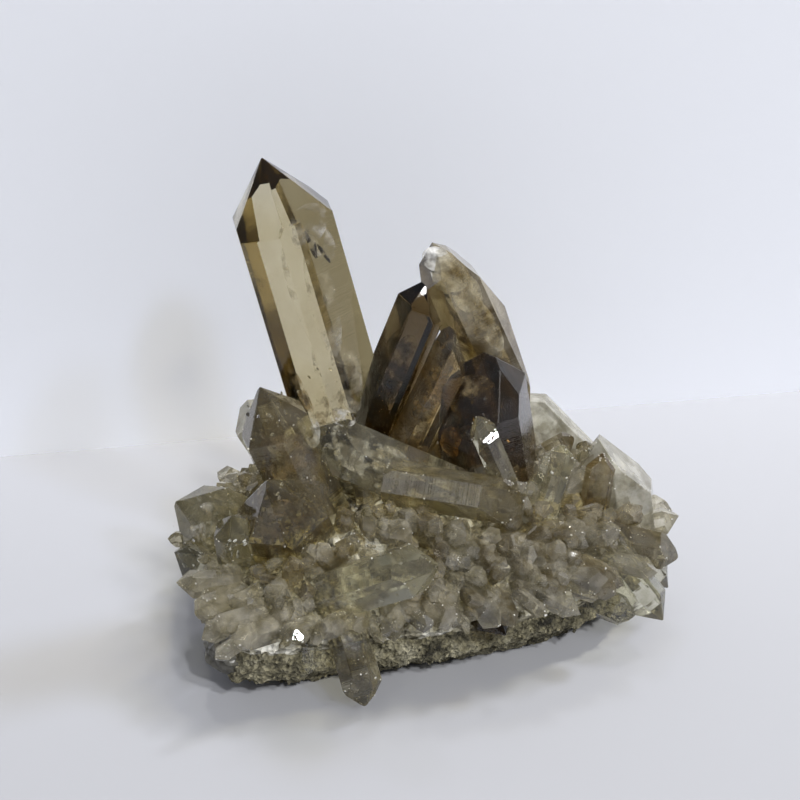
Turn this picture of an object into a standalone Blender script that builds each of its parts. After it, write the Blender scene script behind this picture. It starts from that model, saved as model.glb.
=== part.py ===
"""Smoky quartz cluster on a loose piece of matrix rock, in metres, +Z up.

The origin is the middle of the flat patch that the rock rests on. Sizes and places below are in
millimetres. The crystals lean out of a domed crust, and all of them are fused with it into one solid.
The rock is a second solid under the crust, a hair's breadth away from it.
"""

import math
import random

import bmesh
import bpy
from mathutils import Vector, noise
from mathutils.geometry import intersect_point_line

MM = 0.001

# Rock
PLAN = [
    (-38, -31), (-20, -28), (-2, -25), (15, -20), (31, -14), (42, -3), (44, 12), (37, 27),
    (20, 34), (0, 36), (-20, 34), (-37, 26), (-46, 10), (-45, -14),
]
PLAN_CENTRE = (-2, 3)
PLAN_STEPS = 44
# How thick the rock is at its rim, and how far the rim stands off the ground, at the left and right
ROCK_THICK = (9.5, 5.5)
ROCK_LIFT = (3.0, 5.5)
ROCK_REACH = 40.0
# Share of the plan and share of the thickness of each ring, from under the rim to the crown
ROCK_PROFILE = [
    (0.93, 0.0), (0.985, 0.12), (1.0, 0.38), (0.985, 0.62), (0.97, 0.88), (0.92, 1.02),
    (0.78, 1.1), (0.55, 1.16), (0.3, 1.2),
]
# Which way the first and the last ring face: degrees up from sideways
ROCK_FACING = (-60, 90)
FOOT_SHARE = 0.80
# Size and height of the rock's coarse and fine lumps
ROCK_LUMPS = [(5.5, 2.2), (2.4, 1.1)]
LUMP_OFFSET = Vector((50, 0, 0))
# Inside this share of the plan the lumps rise, outside it they stick out
LUMP_TURN = (0.7, 0.95)
GAP = 0.55
UP = Vector((0, 0, 1))

# Crust: its height at the rim, how much higher its middle is, and how late it falls off
CRUST_RIM = 15.5
CRUST_RISE = 15.0
CRUST_FALL = 2.4
CRUST_STEPS = 34
# Share of the plan and height of the rings that are sunk in the rock
CRUST_ROOT = [(0.80, 8.0), (0.955, 8.5)]
CRUST_SHARES = [0.985, 0.93, 0.84, 0.72, 0.58, 0.4, 0.2]
# Width of the crust's lumps, their height, and how far they are sunk
CRUST_LUMPS = (6.0, 5.1, 1.9)

# Quartz: the angle between a tip face's normal and the crystal's length
TIP_FACE_TILT = 51.8
FRONT = Vector((0, -0.87, 0.5))

# Small crystals of the crust
SEED = 41
SMALL_LENGTH = (8.0, 14.0)
SMALL_ACROSS = (2.8, 5.6)
SMALL_ROOT = 3.5
SMALL_SWING = 0.4
# Spread of the six sides, as a share of half the width, and of the tip faces, as a share of the width
SIDE_SPREAD = 0.10
LARGE_CAPS = (-0.15, 0.1)
LESSER_CAPS = (0, 0.2)
GOLDEN_TURN = 0.381966
# How many, the shares of the way out where they stand, and how far they lean from upright
SMALL_ZONES = [
    (62, (0.90, 0.99), (68, 118)),
    (64, (0.30, 0.88), (10, 75)),
]
# Large crystals that stand free of the bed, and how far the tips of the small ones keep off their fronts
FREE = ("clear_bar", "left_stout", "brown_block", "left_stub", "front_clear", "hanging_point", "right_bar",
        "facet_point", "brown_plate", "right_point", "right_mirror")
FREE_ROOM = 2.6
# The part of a free crystal's length that is kept clear, and how far behind its middle, as a share of its
# width, a small tip may stand without hiding it
FREE_SPAN = (0.25, 1.15)
BEHIND = 0.25

# Large crystals: foot and tip are points on the length of the crystal, across is its width, roll turns
# its first face away from the front, sides are the six face distances as shares of half the width, and
# caps say how far each of the six tip faces is moved out (a small face) or in (a large one). A cut is
# one more flat face, given by its turn, its tilt and its depth below the tip.
EVEN = (1, 1, 1, 1, 1, 1)
LARGE = [
    dict(name="tall_point", foot=(-11.5, 10, 12), tip=(-33, 22, 92.5), across=19.8, roll=-27,
         sides=(1.10, 0.94, 1.0, 0.80, 1.0, 0.94), caps=(0.4, 0, 0, 0.5, 0.5, 0.6)),
    dict(name="dark_point", foot=(-17, 11, 25), tip=(0.5, 15, 70.5), across=9.4, roll=14,
         sides=EVEN, caps=(-0.5, -1.5, -2.5, 0, 0, 0)),
    dict(name="bent_blade", foot=(24, 18, 23), tip=(1, 25, 73.5), across=12.5, roll=8,
         sides=EVEN, caps=(1, 2, 2, 1, 3, 3),
         cuts=((90, 76, -9), (90, 64, 0), (90, 47, 1.5), (20, 30, 1.6), (-70, 50, 0.2),
               (90, 98, 70), (90, 115, 45))),
    dict(name="middle_blade", foot=(-8, 8, 26), tip=(7.5, 12, 61.5), across=8.5, roll=20,
         sides=EVEN, caps=(0, -3, -3, 1, 1, 0)),
    dict(name="dark_stout", foot=(14.8, 12, 15), tip=(7.9, 5, 59), across=17.5, roll=10,
         sides=EVEN, caps=(-1, 1, 1, 0, 0, -5)),
    dict(name="small_blade", foot=(17, -2, 27), tip=(9, -4, 48.5), across=5.2, roll=25,
         sides=EVEN, caps=(-0.8, 0, 1, 1, 0, 0)),
    dict(name="clear_bar", foot=(17, 1, 21), tip=(-26, -2, 44.5), across=11.5, roll=-22,
         sides=EVEN, caps=(-2, 0, 0, 0, 0, -1)),
    dict(name="left_stout", foot=(-20, -3, 17), tip=(-34.7, 0, 54), across=13.5, roll=-25,
         sides=EVEN, caps=(-1, 0, 0, 0, 0, -1)),
    dict(name="brown_block", foot=(-24, -4, 10), tip=(-32, -15, 41.5), across=17.0, roll=30,
         sides=EVEN, caps=(0, 0, 0, 0, 0, 0.6)),
    dict(name="left_middle", foot=(-38, -9, 12), tip=(-39, -16, 34), across=7.6, roll=20,
         sides=EVEN, caps=(0, 0, 0, 0, 0, 0)),
    dict(name="left_stub", foot=(-33, 6, 11), tip=(-52, -4, 29), across=14.0, roll=-12,
         sides=EVEN, caps=(-1, 0, 0, 0, 0, -1)),
    dict(name="left_low", foot=(-42, -1, 10), tip=(-52, -6, 18.5), across=7.0, roll=0,
         sides=EVEN, caps=(0, 0, 0, 1, 0, 0)),
    dict(name="front_clear", foot=(-27, -21, 16), tip=(1, -30, 32.5), across=9.5, roll=-28,
         sides=EVEN, caps=(-1, 0, 0, 1, 0, 0)),
    dict(name="hanging_point", foot=(-19.5, -21, 21), tip=(-12.3, -36, 2.5), across=7.0, roll=-12,
         sides=EVEN, caps=(-1.2, 0, 0.6, 0.6, 0, 0)),
    dict(name="hanging_tooth", foot=(-23.5, -24, 15), tip=(-24, -31.5, 7), across=4.0, roll=10,
         sides=EVEN, caps=(0, 0, 0, 0, 0, 0)),
    dict(name="right_bar", foot=(-9, -4, 34), tip=(20, -12, 33.5), across=8.0, roll=-5,
         sides=EVEN, caps=(-3, 0, 0, 0, 0, -1)),
    dict(name="facet_point", foot=(19.5, -4, 16), tip=(27, 2, 40), across=6.4, roll=18,
         sides=EVEN, caps=(-1.5, 0, 0, 0, 0, 0)),
    dict(name="brown_plate", foot=(32.5, 2, 15), tip=(35, 6, 35), across=5.4, roll=5,
         sides=(0.6, 1, 1, 0.6, 1, 1), caps=(0, 0, 0, 0, 0, 0)),
    dict(name="back_chunk", foot=(41, 10, 10), tip=(37, 15, 37), across=14.0, roll=20,
         sides=EVEN, caps=(0, -4, -2, 0, 0, 0)),
    dict(name="right_point", foot=(26, -1, 21), tip=(52, 0, 13.5), across=7.6, roll=-34,
         sides=EVEN, caps=(-1, 0, 0, 0, 0, 0)),
    dict(name="right_mirror", foot=(35, -3, 19), tip=(47, -13, 6.5), across=7.4, roll=-8,
         sides=EVEN, caps=(0, 0, 0, 0, 0, 0)),
    dict(name="right_under", foot=(27, -8, 11), tip=(42, -13, 7.5), across=5.6, roll=12,
         sides=EVEN, caps=(-1, 0, 0, 0, 0, 0)),
    dict(name="right_tooth", foot=(41, 1, 14), tip=(49.5, 0, 5.5), across=6.0, roll=0,
         sides=EVEN, caps=(0, 0, 0, 0, 0, 0)),
    dict(name="front_pyramid", foot=(6.5, -12, 17.5), tip=(14.5, -25, 11.5), across=7.4, roll=0,
         sides=EVEN, caps=(0, 0, 0, 0, 0, 0)),
    dict(name="back_slab", foot=(37, 21, 14), tip=(14, 28, 36.5), across=13.0, roll=10,
         sides=(0.7, 1, 1, 0.7, 1, 1), caps=(0, 0, 0, 0, 0, 0)),
    dict(name="back_left", foot=(-22, 18, 12), tip=(-40, 38, 30), across=12.0, roll=25,
         sides=EVEN, caps=(0, 1, -2, 0, 1, 0)),
    dict(name="back_point", foot=(2, 20, 14), tip=(8, 42, 46), across=11.0, roll=-10,
         sides=EVEN, caps=(0, 1, 1, -3, 1, 0)),
    dict(name="back_low", foot=(-8, 24, 12), tip=(-15, 46, 27), across=8.5, roll=5,
         sides=EVEN, caps=(0, 0, 1, -1, 0, 0)),
]

# How near a corner has to be to a slicing plane to count as on it
SLICE_MERGE = 1e-5
# Crystals fused with the crust in one go
UNION_BATCH = 25

# Finishes: colour, roughness
ROCK_FINISH = ((0.30, 0.26, 0.19), 0.9)
QUARTZ_FINISH = ((0.22, 0.17, 0.11), 0.08)


def clear_scene():
    for item in list(bpy.data.objects):
        bpy.data.objects.remove(item, do_unlink=True)


def finish_material(name, colour, roughness, clear):
    material = bpy.data.materials.new(name)
    material.use_nodes = True
    shader = material.node_tree.nodes["Principled BSDF"]
    shader.inputs["Base Color"].default_value = (*colour, 1)
    shader.inputs["Roughness"].default_value = roughness
    shader.inputs["Metallic"].default_value = 0
    shader.inputs["Transmission Weight"].default_value = 1 if clear else 0
    shader.inputs["IOR"].default_value = 1.544 if clear else 1.5
    material.diffuse_color = (*colour, 1)
    return material


def new_object(name, mesh_builder):
    """Make an object of a bmesh whose numbers are millimetres."""
    bmesh.ops.recalc_face_normals(mesh_builder, faces=mesh_builder.faces)
    bmesh.ops.scale(mesh_builder, vec=(MM, MM, MM), verts=mesh_builder.verts)
    mesh = bpy.data.meshes.new(name)
    mesh_builder.to_mesh(mesh)
    mesh_builder.free()
    item = bpy.data.objects.new(name, mesh)
    bpy.context.scene.collection.objects.link(item)
    return item


def plan_point(turn, share=1.0):
    """A point of the rock's plan at a turn from 0 to 1 round it, on a smooth closed curve."""
    count = len(PLAN)
    place = turn * count
    index = int(math.floor(place))
    part = place - index
    a, b, c, d = (Vector(PLAN[(index + step) % count]) for step in (-1, 0, 1, 2))
    point = 0.5 * (2 * b + (c - a) * part + (2 * a - 5 * b + 4 * c - d) * part ** 2
                   + (3 * b - a - 3 * c + d) * part ** 3)
    centre = Vector(PLAN_CENTRE)
    return centre + (point - centre) * share


def ring_body(rings, flat_foot):
    """Close a stack of rings, lowest first, each a list of points, into one body."""
    body = bmesh.new()
    rows = [[body.verts.new(point) for point in ring] for ring in rings]
    count = len(rows[0])
    for low, high in zip(rows, rows[1:]):
        for step in range(count):
            after = (step + 1) % count
            body.faces.new((low[step], low[after], high[after], high[step]))
    foot = body.faces.new(rows[0][::-1])
    crown = body.faces.new(rows[-1])
    fans = [crown] if flat_foot else [foot, crown]
    bmesh.ops.poke(body, faces=fans)
    uneven = [face for face in body.faces if len(face.verts) == 4]
    bmesh.ops.triangulate(body, faces=uneven, quad_method="FIXED")
    return body


def spread(value, low, high):
    """0 up to the low value, 1 from the high value on, and even in between."""
    return min(max((value - low) / (high - low), 0), 1)


def left_to_right(x, pair):
    """A value that changes evenly from the rock's left rim to its right rim."""
    return pair[0] + (pair[1] - pair[0]) * spread(x, -ROCK_REACH, ROCK_REACH)


def outward(point, rise=0.0):
    """The level direction from the middle of the plan to a point, tilted up by a rise."""
    return Vector((point[0] - PLAN_CENTRE[0], point[1] - PLAN_CENTRE[1], rise)).normalized()


def rock_object(name, growth=0.0):
    """The rock, or the room that it takes up when it is grown a little all round."""
    rings = [[Vector((*plan_point(step / PLAN_STEPS, FOOT_SHARE), -growth)) for step in range(PLAN_STEPS)]]
    for index, (share, height) in enumerate(ROCK_PROFILE):
        turn = index / (len(ROCK_PROFILE) - 1)
        facing = math.radians(ROCK_FACING[0] + (ROCK_FACING[1] - ROCK_FACING[0]) * turn)
        sideways = spread(share, *LUMP_TURN)
        ring = []
        for step in range(PLAN_STEPS):
            x, y = plan_point(step / PLAN_STEPS, share)
            point = Vector((x, y, left_to_right(x, ROCK_LIFT) + height * left_to_right(x, ROCK_THICK)))
            out = outward(point)
            lump = sum(noise.noise(point / size + LUMP_OFFSET * order) * high
                       for order, (size, high) in enumerate(ROCK_LUMPS))
            point += lump * (sideways * out + (1 - sideways) * UP)
            ring.append(point + growth * (math.cos(facing) * out + math.sin(facing) * UP))
        rings.append(ring)
    return new_object(name, ring_body(rings, flat_foot=True))


def crust_top(share):
    """Height of the crust over the ground at a share of the way from the middle to the rim."""
    return CRUST_RIM + CRUST_RISE * (1 - share ** CRUST_FALL)


def crust_object():
    """A lumpy dome that the crystals stand in, sunk into the rock at its foot."""
    width, high, sunk = CRUST_LUMPS
    rings = []
    turns = [step / CRUST_STEPS for step in range(CRUST_STEPS)]
    for share, height in CRUST_ROOT:
        rings.append([Vector((*plan_point(turn, share), height)) for turn in turns])
    for share in CRUST_SHARES:
        ring = []
        for turn in turns:
            point = Vector((*plan_point(turn, share), crust_top(share)))
            near, far = noise.voronoi(point / width)[0][:2]
            ring.append(point + outward(point, rise=10) * ((far - near) * high - sunk))
        rings.append(ring)
    return new_object("crust", ring_body(rings, flat_foot=False))


def slice_off(body, point, normal):
    """Cut a convex body by a plane, and close the cut with one face."""
    geometry = body.verts[:] + body.edges[:] + body.faces[:]
    cut = bmesh.ops.bisect_plane(body, geom=geometry, plane_co=point, plane_no=normal, clear_outer=True,
                                 dist=SLICE_MERGE)
    rim = [item for item in cut["geom_cut"] if isinstance(item, bmesh.types.BMEdge)]
    if len(rim) > 2:
        bmesh.ops.edgeloop_fill(body, edges=rim)


def crystal_object(name, foot, tip, across, roll, sides, caps, cuts=()):
    """A six-sided crystal from its foot to its tip, with six slanting faces at the tip."""
    foot, tip = Vector(foot), Vector(tip)
    along = (tip - foot).normalized()
    front = (FRONT - FRONT.dot(along) * along).normalized()
    right = along.cross(front)

    def turned(turn, tilt):
        sideways = math.cos(math.radians(turn)) * front + math.sin(math.radians(turn)) * right
        return math.sin(math.radians(tilt)) * sideways + math.cos(math.radians(tilt)) * along

    body = bmesh.new()
    reach = (tip - foot).length + 4 * across
    bmesh.ops.create_cube(body, size=2 * reach)
    bmesh.ops.translate(body, verts=body.verts, vec=foot)
    slice_off(body, foot, -along)
    for index in range(6):
        turn = roll + 60 * index
        side = turned(turn, 90)
        slice_off(body, foot + side * across / 2 * sides[index], side)
    for index in range(6):
        cap = turned(roll + 60 * index, TIP_FACE_TILT)
        slice_off(body, tip + cap * caps[index], cap)
    for turn, tilt, depth in cuts:
        face = turned(turn, tilt)
        slice_off(body, tip - along * depth, face)
    return new_object(name, body)


def crowds(point):
    """Whether a point would hide one of the large crystals that stand free of the bed."""
    for row in LARGE:
        if row["name"] in FREE:
            near, share = intersect_point_line(point, Vector(row["foot"]), Vector(row["tip"]))
            aside = point - near
            hides = aside.dot(FRONT) > -row["across"] * BEHIND
            if FREE_SPAN[0] < share < FREE_SPAN[1] and hides \
                    and aside.length < row["across"] / 2 + FREE_ROOM:
                return True
    return False


def small_crystals(rng):
    """Crystals strewn over the crust, steeper on its slope and leaning out and down at its rim."""
    items = []
    for count, shares, leans in SMALL_ZONES:
        for index in range(count):
            turn = (index * GOLDEN_TURN + rng.uniform(-0.01, 0.01)) % 1.0
            share = rng.uniform(*shares)
            ground = Vector((*plan_point(turn, share), crust_top(share)))
            swing = Vector((rng.uniform(-1, 1), rng.uniform(-1, 1), 0)) * SMALL_SWING
            lean = math.radians(rng.uniform(*leans))
            along = (math.sin(lean) * outward(ground) + math.cos(lean) * UP + swing).normalized()
            foot = ground - along * SMALL_ROOT
            length = rng.uniform(*SMALL_LENGTH)
            across = rng.uniform(*SMALL_ACROSS)
            sides = [1 + rng.uniform(-SIDE_SPREAD, SIDE_SPREAD) for _ in range(6)]
            caps = [rng.uniform(*(LESSER_CAPS if face % 2 else LARGE_CAPS)) * across for face in range(6)]
            roll = rng.uniform(0, 60)
            tip = foot + along * length
            if not crowds(tip):
                items.append(crystal_object(f"small_{len(items)}", foot, tip, across, roll, sides, caps))
    return items


def apply_boolean(target, operation, others):
    group = bpy.data.collections.new("operands")
    bpy.context.scene.collection.children.link(group)
    for item in others:
        group.objects.link(item)
    modifier = target.modifiers.new(operation, "BOOLEAN")
    modifier.operation = operation
    modifier.solver = "EXACT"
    modifier.operand_type = "COLLECTION"
    modifier.collection = group
    graph = bpy.context.evaluated_depsgraph_get()
    mesh = bpy.data.meshes.new_from_object(target.evaluated_get(graph))
    target.modifiers.clear()
    target.data = mesh
    for item in others:
        bpy.data.objects.remove(item, do_unlink=True)
    bpy.data.collections.remove(group)


def keep_largest_shell(item):
    """Drop closed pockets and crumbs that the union leaves, so one outer shell is left."""
    body = bmesh.new()
    body.from_mesh(item.data)
    shells = []
    seen = set()
    for start in body.verts:
        if start in seen:
            continue
        seen.add(start)
        shell = [start]
        for vert in shell:
            for edge in vert.link_edges:
                other = edge.other_vert(vert)
                if other not in seen:
                    seen.add(other)
                    shell.append(other)
        shells.append(shell)
    shells.sort(key=len)
    loose = [vert for shell in shells[:-1] for vert in shell]
    bmesh.ops.delete(body, geom=loose, context="VERTS")
    body.to_mesh(item.data)
    body.free()


def main():
    clear_scene()
    rock = rock_object("matrix")
    rock.data.materials.append(finish_material("matrix_rock", *ROCK_FINISH, clear=False))

    cluster = crust_object()
    crystals = [crystal_object(**row) for row in LARGE] + small_crystals(random.Random(SEED))
    for start in range(0, len(crystals), UNION_BATCH):
        apply_boolean(cluster, "UNION", crystals[start:start + UNION_BATCH])
    apply_boolean(cluster, "DIFFERENCE", [rock_object("room", growth=GAP)])
    keep_largest_shell(cluster)
    cluster.name = "quartz_cluster"
    cluster.data.name = "quartz_cluster"
    cluster.data.materials.clear()
    cluster.data.materials.append(finish_material("smoky_quartz", *QUARTZ_FINISH, clear=True))


if __name__ == "__main__":
    main()
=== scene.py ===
"""Looks of the smoky quartz cluster: see-through crystals, a bed of small points and a grainy rock.

Lengths in the tables are millimetres, in the same frame as the solids. Everything is placed in metres.
"""

import math
import random

import bmesh
import bpy
from mathutils import Matrix, Vector, noise
from mathutils.geometry import intersect_point_line


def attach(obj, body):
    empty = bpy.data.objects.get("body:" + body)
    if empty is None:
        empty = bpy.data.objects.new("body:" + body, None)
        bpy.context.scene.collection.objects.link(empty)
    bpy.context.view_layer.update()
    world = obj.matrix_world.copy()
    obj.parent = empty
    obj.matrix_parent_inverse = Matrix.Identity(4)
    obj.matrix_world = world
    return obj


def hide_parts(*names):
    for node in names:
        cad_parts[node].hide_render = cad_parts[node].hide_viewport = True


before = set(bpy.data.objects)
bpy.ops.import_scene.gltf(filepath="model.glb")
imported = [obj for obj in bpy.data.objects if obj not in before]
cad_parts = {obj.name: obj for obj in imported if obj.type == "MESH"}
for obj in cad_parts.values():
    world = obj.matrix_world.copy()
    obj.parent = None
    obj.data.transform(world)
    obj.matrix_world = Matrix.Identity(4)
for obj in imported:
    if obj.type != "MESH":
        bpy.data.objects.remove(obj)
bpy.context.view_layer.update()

MM = 0.001
UP = Vector((0, 0, 1))
FRONT = Vector((0, -0.87, 0.5))
CUT_MERGE = 1e-7
TIP_FACE_TILT = 51.8

# Plan of the rock and height of the crust over it, as in the solids
PLAN = [
    (-38, -31), (-20, -28), (-2, -25), (15, -20), (31, -14), (42, -3), (44, 12), (37, 27),
    (20, 34), (0, 36), (-20, 34), (-37, 26), (-46, 10), (-45, -14),
]
PLAN_CENTRE = (-2, 3)
CRUST_RIM = 15.5
CRUST_RISE = 15.0
CRUST_FALL = 2.4

# Camera: the point it looks at, its distance and height angle, and how long its lens is
LOOK_AT = Vector((-6.3, 0.0, 50.6))
CAMERA_FAR = 420.0
CAMERA_RISE = 30.0
LENS = 95.82


def deselect():
    if bpy.context.mode != "OBJECT":
        bpy.ops.object.mode_set(mode="OBJECT")
    bpy.ops.object.select_all(action="DESELECT")


def make_active(piece):
    deselect()
    piece.select_set(True)
    bpy.context.view_layer.objects.active = piece


def settle(piece):
    """Put a finished piece's place into its mesh."""
    make_active(piece)
    bpy.ops.object.transform_apply(location=True, rotation=True, scale=True)


def join(name, parts):
    deselect()
    for part in parts:
        part.select_set(True)
    bpy.context.view_layer.objects.active = parts[0]
    if len(parts) > 1:
        bpy.ops.object.join()
    piece = bpy.context.view_layer.objects.active
    piece.name = piece.data.name = name
    return piece


# Materials

def group_socket(group, side, kind, name, value=None):
    socket = group.interface.new_socket(name=name, in_out=side, socket_type=kind)
    if value is not None:
        socket.default_value = value
    return socket


def growth_lines_group():
    """Fine lines across the length of a crystal, with patches of frosting. Length runs along V."""
    group = bpy.data.node_groups.new("growth_lines", "ShaderNodeTree")
    group_socket(group, "INPUT", "NodeSocketFloat", "Lines per length", 26.0)
    group_socket(group, "INPUT", "NodeSocketFloat", "Patch size", 180.0)
    group_socket(group, "INPUT", "NodeSocketFloat", "Frost from", 0.58)
    group_socket(group, "OUTPUT", "NodeSocketFloat", "Height")
    group_socket(group, "OUTPUT", "NodeSocketFloat", "Frost")
    nodes, links = group.nodes, group.links
    given = nodes.new("NodeGroupInput")
    made = nodes.new("NodeGroupOutput")
    where = nodes.new("ShaderNodeTexCoord")
    split = nodes.new("ShaderNodeSeparateXYZ")
    links.new(where.outputs["UV"], split.inputs[0])
    stretch = nodes.new("ShaderNodeMath")
    stretch.operation = "MULTIPLY"
    links.new(split.outputs["Y"], stretch.inputs[0])
    links.new(given.outputs["Lines per length"], stretch.inputs[1])
    lines = nodes.new("ShaderNodeTexNoise")
    lines.noise_dimensions = "1D"
    lines.inputs["Scale"].default_value = 1.0
    lines.inputs["Detail"].default_value = 2.0
    links.new(stretch.outputs[0], lines.inputs["W"])
    patch = nodes.new("ShaderNodeTexNoise")
    patch.inputs["Detail"].default_value = 3.0
    links.new(where.outputs["Object"], patch.inputs["Vector"])
    links.new(given.outputs["Patch size"], patch.inputs["Scale"])
    frost = nodes.new("ShaderNodeMapRange")
    links.new(patch.outputs[0], frost.inputs["Value"])
    links.new(given.outputs["Frost from"], frost.inputs["From Min"])
    frost.inputs["From Max"].default_value = 0.75
    links.new(lines.outputs[0], made.inputs["Height"])
    links.new(frost.outputs[0], made.inputs["Frost"])
    return group


def noise_node(nodes, links, where, scale, detail=4.0, rough=0.6):
    node = nodes.new("ShaderNodeTexNoise")
    node.inputs["Scale"].default_value = scale
    node.inputs["Detail"].default_value = detail
    node.inputs["Roughness"].default_value = rough
    links.new(where.outputs["Object"], node.inputs["Vector"])
    return node


def tone_ramp(nodes, links, source, stops):
    """A ramp of (position, colour) stops over a value."""
    ramp = nodes.new("ShaderNodeValToRGB")
    elements = ramp.color_ramp.elements
    while len(elements) < len(stops):
        elements.new(0.5)
    for element, (position, colour) in zip(elements, stops):
        element.position, element.color = position, (*colour, 1)
    links.new(source, ramp.inputs[0])
    return ramp


def soaked(nodes, links, out, soak):
    """Fill the body with smoke that soaks up red, green and blue light by the given share per metre."""
    smoke = nodes.new("ShaderNodeVolumeAbsorption")
    density = max(soak) * 1.25
    smoke.inputs["Density"].default_value = density
    smoke.inputs["Color"].default_value = (*(1 - share / density for share in soak), 1)
    links.new(smoke.outputs[0], out.inputs["Volume"])


def quartz(name, lines, soak, clear, tones, mottle, frost_from, line_depth, grain, rough=(0.0, 0.12)):
    """Quartz: a share lets light through and the rest is milky, mottled between a dark and a pale tone."""
    material = bpy.data.materials.new(name)
    material.use_nodes = True
    nodes, links = material.node_tree.nodes, material.node_tree.links
    nodes.clear()
    out = nodes.new("ShaderNodeOutputMaterial")
    shader = nodes.new("ShaderNodeBsdfPrincipled")
    shader.inputs["IOR"].default_value = 1.544
    shader.inputs["Transmission Weight"].default_value = clear
    shader.inputs["Metallic"].default_value = 0.0
    where = nodes.new("ShaderNodeTexCoord")
    zones = noise_node(nodes, links, where, mottle, 5.0)
    zone_tones = tone_ramp(nodes, links, zones.outputs[0], [(0.38, tones[0]), (0.60, tones[1])])
    # A face's dimming holds how much darker it is: a chance amount, and painted shade on some sides
    dimming_and_painted_shade = nodes.new("ShaderNodeAttribute")
    dimming_and_painted_shade.attribute_name = "dimming_and_painted_shade"
    let_in = nodes.new("ShaderNodeMath")
    let_in.operation = "SUBTRACT"
    let_in.inputs[0].default_value = 1.0
    links.new(dimming_and_painted_shade.outputs["Fac"], let_in.inputs[1])
    shade = nodes.new("ShaderNodeVectorMath")
    shade.operation = "SCALE"
    links.new(zone_tones.outputs[0], shade.inputs[0])
    links.new(let_in.outputs[0], shade.inputs["Scale"])
    links.new(shade.outputs[0], shader.inputs["Base Color"])
    growth = nodes.new("ShaderNodeGroup")
    growth.node_tree = lines
    growth.inputs["Frost from"].default_value = frost_from
    bump = nodes.new("ShaderNodeBump")
    bump.inputs["Strength"].default_value = 1.0
    bump.inputs["Distance"].default_value = line_depth
    links.new(growth.outputs["Height"], bump.inputs["Height"])
    pits = noise_node(nodes, links, where, 420.0, 4.0, 0.5)
    rough_bump = nodes.new("ShaderNodeBump")
    rough_bump.inputs["Strength"].default_value = 1.0
    rough_bump.inputs["Distance"].default_value = grain
    links.new(pits.outputs[0], rough_bump.inputs["Height"])
    links.new(bump.outputs["Normal"], rough_bump.inputs["Normal"])
    links.new(rough_bump.outputs["Normal"], shader.inputs["Normal"])
    dull = nodes.new("ShaderNodeMapRange")
    dull.inputs["To Min"].default_value = rough[0]
    dull.inputs["To Max"].default_value = rough[1]
    links.new(growth.outputs["Frost"], dull.inputs["Value"])
    links.new(dull.outputs[0], shader.inputs["Roughness"])
    # Light on its way to a lamp goes straight through, so the crystals cast a tinted shadow
    path = nodes.new("ShaderNodeLightPath")
    straight = nodes.new("ShaderNodeBsdfTransparent")
    straight.inputs["Color"].default_value = (0.94, 0.94, 0.94, 1)
    either = nodes.new("ShaderNodeMixShader")
    links.new(path.outputs["Is Shadow Ray"], either.inputs[0])
    links.new(shader.outputs[0], either.inputs[1])
    links.new(straight.outputs[0], either.inputs[2])
    links.new(either.outputs[0], out.inputs["Surface"])
    soaked(nodes, links, out, soak)
    return material


def cloud_material(name, dark, pale, from_value, to_value, most):
    """Brown or whitish cloud inside a crystal, seen only in patches."""
    material = bpy.data.materials.new(name)
    material.use_nodes = True
    nodes, links = material.node_tree.nodes, material.node_tree.links
    shader = nodes["Principled BSDF"]
    where = nodes.new("ShaderNodeTexCoord")
    wisps = nodes.new("ShaderNodeTexNoise")
    wisps.inputs["Scale"].default_value = 260.0
    wisps.inputs["Detail"].default_value = 5.0
    wisps.inputs["Roughness"].default_value = 0.62
    links.new(where.outputs["Object"], wisps.inputs["Vector"])
    seen = nodes.new("ShaderNodeMapRange")
    seen.inputs["From Min"].default_value = from_value
    seen.inputs["From Max"].default_value = to_value
    seen.inputs["To Max"].default_value = most
    links.new(wisps.outputs[0], seen.inputs["Value"])
    links.new(seen.outputs[0], shader.inputs["Alpha"])
    tones = nodes.new("ShaderNodeTexNoise")
    tones.inputs["Scale"].default_value = 420.0
    links.new(where.outputs["Object"], tones.inputs["Vector"])
    ramp = nodes.new("ShaderNodeValToRGB")
    ramp.color_ramp.elements[0].position = 0.4
    ramp.color_ramp.elements[0].color = (*dark, 1)
    ramp.color_ramp.elements[1].position = 0.62
    ramp.color_ramp.elements[1].color = (*pale, 1)
    links.new(tones.outputs[0], ramp.inputs[0])
    links.new(ramp.outputs[0], shader.inputs["Base Color"])
    shader.inputs["Roughness"].default_value = 0.5
    return material


def grained_material(name, stops, patch_scale, grain_scale, grain_tones, roughness, bump_depth):
    """Opaque stuff with patches of tone, grains each a little lighter or darker, and a bumpy surface."""
    material = bpy.data.materials.new(name)
    material.use_nodes = True
    nodes, links = material.node_tree.nodes, material.node_tree.links
    shader = nodes["Principled BSDF"]
    where = nodes.new("ShaderNodeTexCoord")
    patches = noise_node(nodes, links, where, patch_scale, 6.0, 0.65)
    ramp = tone_ramp(nodes, links, patches.outputs[0], stops)
    grains = nodes.new("ShaderNodeTexVoronoi")
    grains.inputs["Scale"].default_value = grain_scale
    links.new(where.outputs["Object"], grains.inputs["Vector"])
    split = nodes.new("ShaderNodeSeparateColor")
    links.new(grains.outputs["Color"], split.inputs[0])
    grain_tone = nodes.new("ShaderNodeMapRange")
    grain_tone.inputs["To Min"].default_value = grain_tones[0]
    grain_tone.inputs["To Max"].default_value = grain_tones[1]
    links.new(split.outputs[0], grain_tone.inputs["Value"])
    shade = nodes.new("ShaderNodeVectorMath")
    shade.operation = "SCALE"
    links.new(ramp.outputs[0], shade.inputs[0])
    links.new(grain_tone.outputs[0], shade.inputs["Scale"])
    links.new(shade.outputs[0], shader.inputs["Base Color"])
    shader.inputs["Roughness"].default_value = roughness
    bump = nodes.new("ShaderNodeBump")
    bump.inputs["Distance"].default_value = bump_depth
    links.new(grains.outputs["Distance"], bump.inputs["Height"])
    links.new(bump.outputs["Normal"], shader.inputs["Normal"])
    return material


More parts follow.
